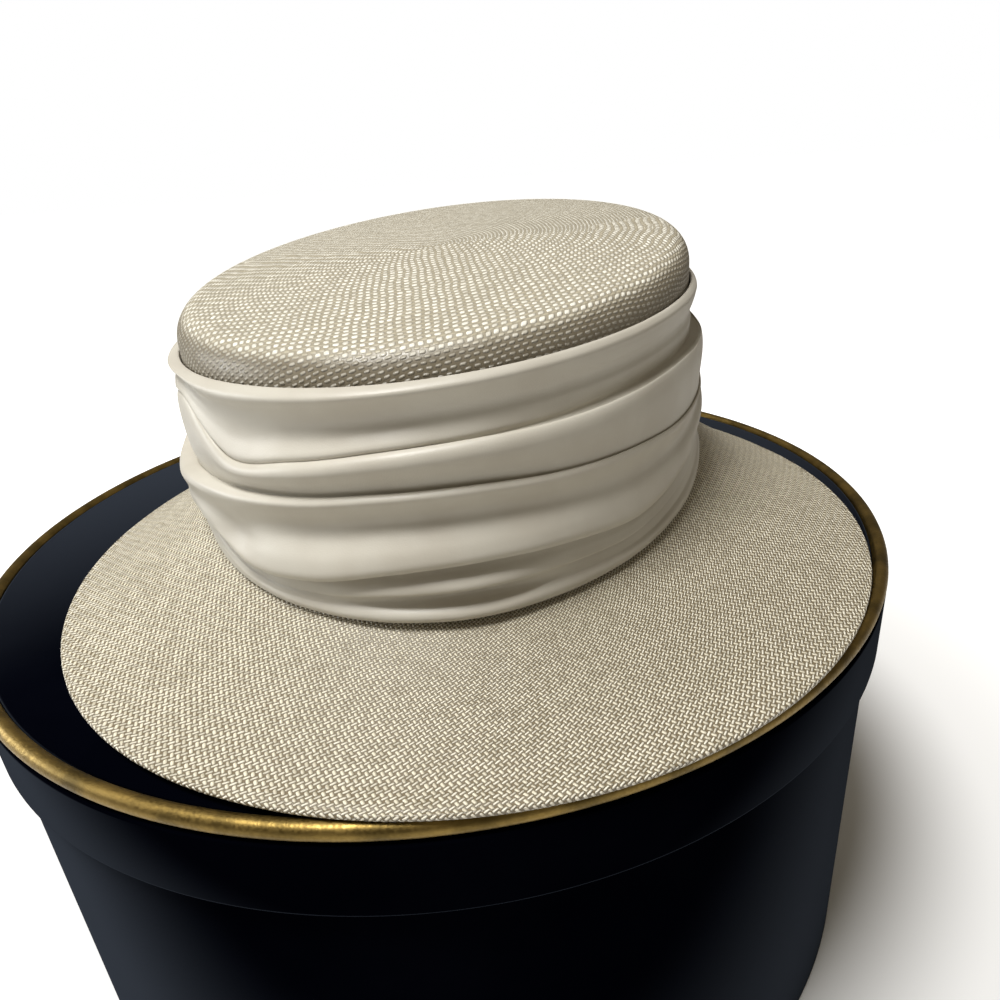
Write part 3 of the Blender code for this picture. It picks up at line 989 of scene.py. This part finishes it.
def add_floor():
    """A wide pale floor that fades to the white of the surround, and doesn't light the hat."""
    mesh = bpy.data.meshes.new("floor")
    far = 30.0
    corners = [(-far, -far, 0), (far, -far, 0), (far, far, 0), (-far, far, 0)]
    mesh.from_pydata(corners, [], [(0, 1, 2, 3)])
    floor = bpy.data.objects.new("floor", mesh)
    pale, g, shader, where = finish_base("pale floor", 0.9, 0.2)
    shader["Base Color"].default_value = (0.86, 0.86, 0.86, 1.0)
    distance = g.node("ShaderNodeVectorMath", {0: where["Object"]}, operation="LENGTH").outputs["Value"]
    glow = g.ramp(distance, 0.16, 0.55, 0.0, 0.9)
    g.put(shader["Emission Color"], g.node("ShaderNodeCombineColor", {0: glow, 1: glow, 2: glow}).outputs[0])
    g.put(shader["Emission Strength"], g.node("ShaderNodeLightPath").outputs["Is Camera Ray"])
    mesh.materials.append(pale)
    bpy.context.collection.objects.link(floor)


def add_world(seen, shed):
    """A plain surround, seen white at one brightness and lighting the hat warmly at another."""
    world = bpy.data.worlds.new("studio")
    world.use_nodes = True
    bpy.context.scene.world = world
    g = Graph(world.node_tree)
    direct = g.node("ShaderNodeLightPath").outputs["Is Camera Ray"]
    background = world.node_tree.nodes["Background"].inputs
    g.put(background["Strength"], g.mix_values(direct, shed, seen))
    g.put(background["Color"], g.mix(direct, (1.0, 0.88, 0.68, 1.0), (1.0, 1.0, 1.0, 1.0)))


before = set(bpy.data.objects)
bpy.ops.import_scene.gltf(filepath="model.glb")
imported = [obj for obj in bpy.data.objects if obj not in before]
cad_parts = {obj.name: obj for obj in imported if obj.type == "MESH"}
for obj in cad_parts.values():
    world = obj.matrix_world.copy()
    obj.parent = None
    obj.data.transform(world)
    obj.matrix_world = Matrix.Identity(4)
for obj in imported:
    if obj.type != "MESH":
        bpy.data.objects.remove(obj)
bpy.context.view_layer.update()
add_camera()
bpy.context.scene.view_settings.view_transform = "Standard"
floats = woven_floats()
straw_crown(straw_finish("crown straw", floats, WALL_WEAVE, TOP_WEAVE, CROWN_TONES, finer_behind=2.0))
straw_brim(straw_finish("brim straw", floats, BRIM_WEAVE, {}, BRIM_TONES))
band = satin_band(satin_finish())
board = board_finish()
hat_box_body(board)
hat_box_lid(board)
gold_bead(gold_finish())
add_floor()
add_world(seen=1.0, shed=0.18)
add_softbox("overhead", (-0.26, -0.38, 1.48), size=0.5, watts=22.5, colour=(1.0, 0.995, 0.98))
add_softbox("window", (-1.3, -0.1, 0.5), size=0.7, watts=7.5, colour=(0.95, 0.98, 1.0))
